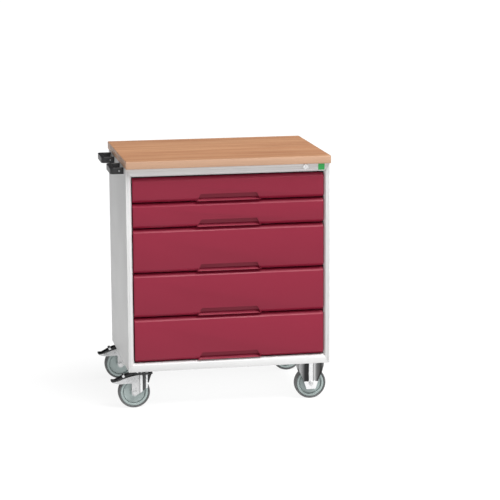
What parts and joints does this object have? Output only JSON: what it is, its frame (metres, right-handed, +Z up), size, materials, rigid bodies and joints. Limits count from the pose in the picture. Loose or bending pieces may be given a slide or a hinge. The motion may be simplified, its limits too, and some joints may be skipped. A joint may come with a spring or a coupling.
{
  "type": "mobile drawer workbench",
  "caption": "Steel drawer cabinet on castors with a beech worktop, red drawer fronts with finger grips, side grab handles and a central lock.",
  "frame": {"origin": "on the floor, under the centre of the bench's overall box (brake pedals included)", "axes": "+Z up, -Y out of the drawer fronts, +X along the front to the right as seen by the user"},
  "size_m": [0.8666, 0.6, 0.98],
  "materials": {
    "shell_paint": "light grey powder coat, fine texture, satin",
    "drawer_paint": "crimson red powder coat, fine texture, satin",
    "drawer_box_paint": "light grey powder coat, satin",
    "beech": "oiled beech multiplex, grain along the bench",
    "black_plastic": "moulded black nylon, lightly textured",
    "galvanised_steel": "bright galvanised steel",
    "castor_zinc": "bright zinc plate on pressed steel",
    "lock_chrome": "polished chrome plate",
    "badge_green": "plain green plastic plate, no marking",
    "rim_plastic": "moulded blue-grey nylon",
    "grey_tyre": "dark grey solid rubber"
  },
  "bodies": {
    "cabinet": {"side_panel_left": "shell_paint", "side_panel_right": "shell_paint", "top_panel": "shell_paint", "base_panel": "shell_paint", "back_panel": "shell_paint", "frame_post_left": "shell_paint", "frame_post_right": "shell_paint", "frame_rail_top": "shell_paint", "frame_rail_bottom": "shell_paint", "worktop": "beech", "grab_handle_front": "black_plastic", "grab_handle_rear": "black_plastic", "badge_plate": "badge_green", "lock_housing": "lock_chrome", "runner_rack_left": "galvanised_steel", "runner_rack_right": "galvanised_steel", "castor_plate_front_left": "castor_zinc", "castor_plate_rear_left": "castor_zinc", "castor_bracket_front_right": "castor_zinc", "castor_bracket_rear_right": "castor_zinc", "castor_axle_front_right": "castor_zinc", "castor_axle_rear_right": "castor_zinc"},
    "drawer_1": {"drawer_front_1": "drawer_paint", "drawer_box_1": "drawer_box_paint", "drawer_rail_left_1": "galvanised_steel", "drawer_rail_right_1": "galvanised_steel"},
    "drawer_2": {"drawer_front_2": "drawer_paint", "drawer_box_2": "drawer_box_paint", "drawer_rail_left_2": "galvanised_steel", "drawer_rail_right_2": "galvanised_steel"},
    "drawer_3": {"drawer_front_3": "drawer_paint", "drawer_box_3": "drawer_box_paint", "drawer_rail_left_3": "galvanised_steel", "drawer_rail_right_3": "galvanised_steel"},
    "drawer_4": {"drawer_front_4": "drawer_paint", "drawer_box_4": "drawer_box_paint", "drawer_rail_left_4": "galvanised_steel", "drawer_rail_right_4": "galvanised_steel"},
    "drawer_5": {"drawer_front_5": "drawer_paint", "drawer_box_5": "drawer_box_paint", "drawer_rail_left_5": "galvanised_steel", "drawer_rail_right_5": "galvanised_steel"},
    "lock_barrel": {"lock_barrel": "lock_chrome"},
    "lock_bar": {"lock_bar": "galvanised_steel"},
    "castor_front_left": {"castor_fork_front_left": "castor_zinc", "castor_axle_front_left": "castor_zinc"},
    "pedal_front_left": {"brake_pedal_front_left": "black_plastic", "brake_release_front_left": "black_plastic"},
    "wheel_front_left": {"wheel_rim_front_left": "rim_plastic", "tyre_front_left": "grey_tyre"},
    "wheel_front_right": {"wheel_rim_front_right": "rim_plastic", "tyre_front_right": "grey_tyre"},
    "castor_rear_left": {"castor_fork_rear_left": "castor_zinc", "castor_axle_rear_left": "castor_zinc"},
    "pedal_rear_left": {"brake_pedal_rear_left": "black_plastic", "brake_release_rear_left": "black_plastic"},
    "wheel_rear_left": {"wheel_rim_rear_left": "rim_plastic", "tyre_rear_left": "grey_tyre"},
    "wheel_rear_right": {"wheel_rim_rear_right": "rim_plastic", "tyre_rear_right": "grey_tyre"}
  },
  "joints": [
    {"name": "drawer_slide_1", "type": "slide", "parent": "cabinet", "child": "drawer_1", "axis": [0, -1, 0], "range_m": [0, 0.4]},
    {"name": "drawer_slide_2", "type": "slide", "parent": "cabinet", "child": "drawer_2", "axis": [0, -1, 0], "range_m": [0, 0.4]},
    {"name": "drawer_slide_3", "type": "slide", "parent": "cabinet", "child": "drawer_3", "axis": [0, -1, 0], "range_m": [0, 0.4]},
    {"name": "drawer_slide_4", "type": "slide", "parent": "cabinet", "child": "drawer_4", "axis": [0, -1, 0], "range_m": [0, 0.4]},
    {"name": "drawer_slide_5", "type": "slide", "parent": "cabinet", "child": "drawer_5", "axis": [0, -1, 0], "range_m": [0, 0.4]},
    {"name": "lock_turn", "type": "hinge", "parent": "cabinet", "child": "lock_barrel", "pos_m": [0.33675, -0.28, 0.937], "axis": [0, -1, 0], "range_deg": [0, 95]},
    {"name": "lock_bar_slide", "type": "slide", "parent": "cabinet", "child": "lock_bar", "axis": [-1, 0, 0], "range_m": [0, 0.00707]},
    {"name": "castor_swivel_front_left", "type": "hinge", "parent": "cabinet", "child": "castor_front_left", "pos_m": [-0.30475, -0.2355, 0.14], "axis": [0, 0, 1], "continuous": true},
    {"name": "brake_pedal_front_left", "type": "hinge", "parent": "castor_front_left", "child": "pedal_front_left", "pos_m": [-0.30475, -0.2355, 0.1385], "axis": [0, -1, 0], "range_deg": [0, 3.5]},
    {"name": "wheel_spin_front_left", "type": "hinge", "parent": "castor_front_left", "child": "wheel_front_left", "pos_m": [-0.34275, -0.2355, 0.0625], "axis": [0, 1, 0], "continuous": true},
    {"name": "wheel_spin_front_right", "type": "hinge", "parent": "cabinet", "child": "wheel_front_right", "pos_m": [0.36225, -0.2355, 0.0625], "axis": [0, 1, 0], "continuous": true},
    {"name": "castor_swivel_rear_left", "type": "hinge", "parent": "cabinet", "child": "castor_rear_left", "pos_m": [-0.30475, 0.2255, 0.14], "axis": [0, 0, 1], "continuous": true},
    {"name": "brake_pedal_rear_left", "type": "hinge", "parent": "castor_rear_left", "child": "pedal_rear_left", "pos_m": [-0.30475, 0.2255, 0.1385], "axis": [0, -1, 0], "range_deg": [0, 3.5]},
    {"name": "wheel_spin_rear_left", "type": "hinge", "parent": "castor_rear_left", "child": "wheel_rear_left", "pos_m": [-0.34275, 0.2255, 0.0625], "axis": [0, 1, 0], "continuous": true},
    {"name": "wheel_spin_rear_right", "type": "hinge", "parent": "cabinet", "child": "wheel_rear_right", "pos_m": [0.36225, 0.2255, 0.0625], "axis": [0, 1, 0], "continuous": true}
  ],
  "couplings": [
    {"joint": "lock_turn", "follows": "lock_bar_slide", "rad_per_m": 222.22}
  ]
}
